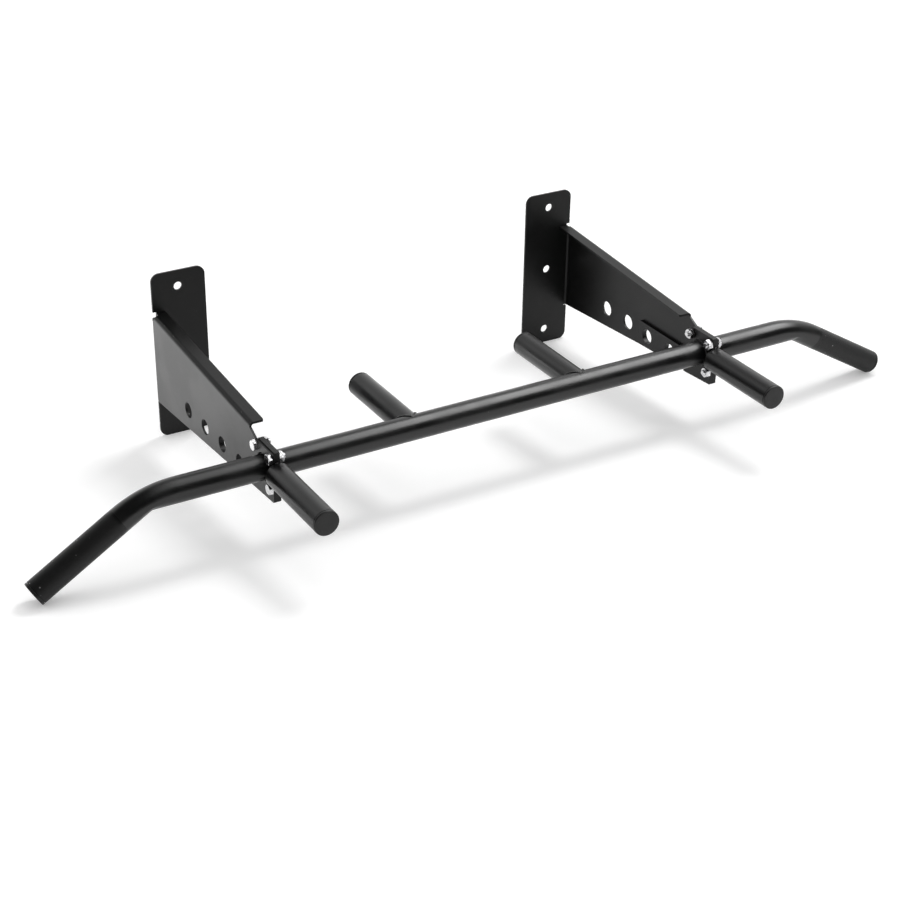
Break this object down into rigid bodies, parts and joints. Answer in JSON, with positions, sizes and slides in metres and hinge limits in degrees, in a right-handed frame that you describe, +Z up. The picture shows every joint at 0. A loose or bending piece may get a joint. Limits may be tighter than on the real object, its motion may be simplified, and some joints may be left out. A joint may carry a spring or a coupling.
{
  "type": "wall-mounted pull up bar",
  "caption": "Wall-mounted pull up bar: bent sheet brackets carry a straight bar with drooping ends, short parallel grips towards the wall and short grips away from it.",
  "frame": {"origin": "centre of the four outer wall holes, on the wall's surface, level with the bar's axis", "axes": "+X along the bar, +Y into the wall, +Z up"},
  "size_m": [1.309, 0.51, 0.246],
  "materials": {
    "bracket_coat": "satin black powder coat on bent sheet",
    "tube_coat": "satin black powder coat on tube",
    "weld_bead_coat": "black powder coat over a weld bead",
    "cap_plastic": "moulded black end cap",
    "zinc_plate": "bright zinc plate"
  },
  "bodies": {
    "root": {"centre_bar": "tube_coat", "left_bracket": "bracket_coat", "right_bracket": "bracket_coat", "left_outer_flange": "bracket_coat", "right_outer_flange": "bracket_coat", "left_centre_flange": "bracket_coat", "right_centre_flange": "bracket_coat", "left_outer_bar": "tube_coat", "right_outer_bar": "tube_coat", "left_front_grip": "tube_coat", "right_front_grip": "tube_coat", "left_rear_grip": "tube_coat", "right_rear_grip": "tube_coat", "bar_end_caps": "cap_plastic", "front_grip_caps": "cap_plastic", "rear_grip_caps": "cap_plastic", "bolts": "zinc_plate", "nuts": "zinc_plate", "flange_welds": "weld_bead_coat", "front_grip_welds": "weld_bead_coat", "rear_grip_welds": "weld_bead_coat"}
  },
  "joints": []
}
